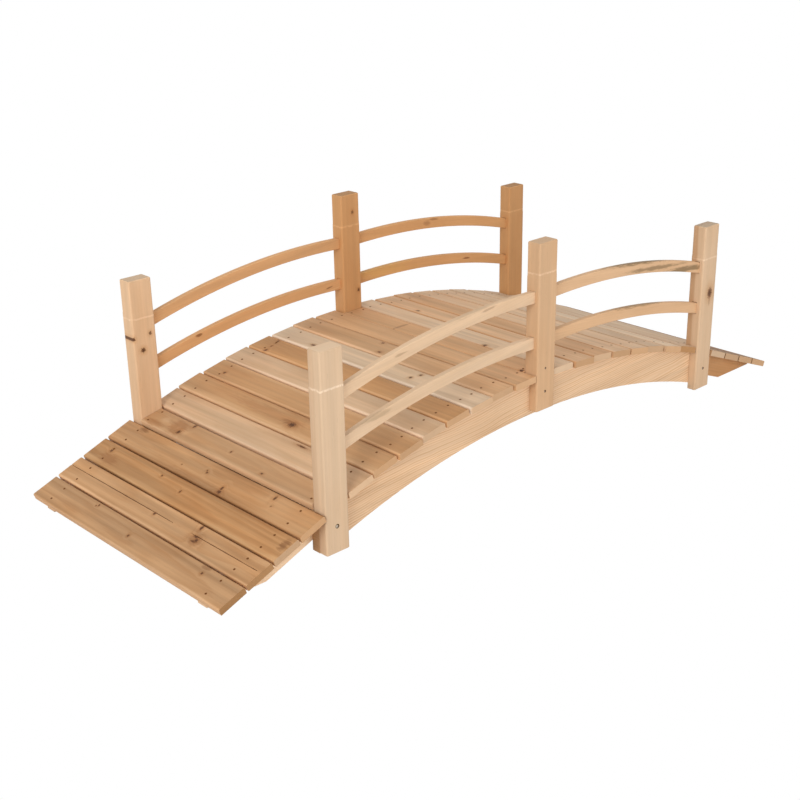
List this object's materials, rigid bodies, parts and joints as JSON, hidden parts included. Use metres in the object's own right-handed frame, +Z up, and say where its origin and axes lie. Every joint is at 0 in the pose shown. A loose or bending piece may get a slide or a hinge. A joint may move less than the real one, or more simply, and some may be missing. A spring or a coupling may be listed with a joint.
{
  "type": "moon bridge",
  "caption": "Small garden moon bridge of bare fir: arched plank deck on sawn side beams, a short ramp at each end, posts and arched railings on both sides",
  "frame": {"origin": "on the ground, under the middle of the bridge", "axes": "+X along the bridge, +Y across it to the far railing, +Z up"},
  "size_m": [2.44, 0.919, 0.715],
  "materials": {
    "post_wood": "planed bare fir",
    "beam_wood": "planed bare fir",
    "rail_wood": "planed bare fir",
    "board_wood": "planed bare fir, a little weathered"
  },
  "bodies": {
    "root": {"beam_far": "beam_wood", "beam_near": "beam_wood", "deck_board_left_1": "board_wood", "deck_board_left_2": "board_wood", "deck_board_left_3": "board_wood", "deck_board_left_4": "board_wood", "deck_board_left_5": "board_wood", "deck_board_left_6": "board_wood", "deck_board_left_7": "board_wood", "deck_board_left_8": "board_wood", "deck_board_left_end": "board_wood", "deck_board_middle": "board_wood", "deck_board_right_1": "board_wood", "deck_board_right_2": "board_wood", "deck_board_right_3": "board_wood", "deck_board_right_4": "board_wood", "deck_board_right_5": "board_wood", "deck_board_right_6": "board_wood", "deck_board_right_7": "board_wood", "deck_board_right_8": "board_wood", "deck_board_right_end": "board_wood", "post_left_far": "post_wood", "post_left_near": "post_wood", "post_middle_far": "post_wood", "post_middle_near": "post_wood", "post_right_far": "post_wood", "post_right_near": "post_wood", "rail_lower_left_far": "rail_wood", "rail_lower_left_near": "rail_wood", "rail_lower_right_far": "rail_wood", "rail_lower_right_near": "rail_wood", "rail_upper_left_far": "rail_wood", "rail_upper_left_near": "rail_wood", "rail_upper_right_far": "rail_wood", "rail_upper_right_near": "rail_wood", "ramp_board_left_1": "board_wood", "ramp_board_left_2": "board_wood", "ramp_board_left_3": "board_wood", "ramp_board_left_4": "board_wood", "ramp_board_right_1": "board_wood", "ramp_board_right_2": "board_wood", "ramp_board_right_3": "board_wood", "ramp_board_right_4": "board_wood", "ramp_stringer_left_far": "beam_wood", "ramp_stringer_left_near": "beam_wood", "ramp_stringer_right_far": "beam_wood", "ramp_stringer_right_near": "beam_wood"}
  },
  "joints": []
}
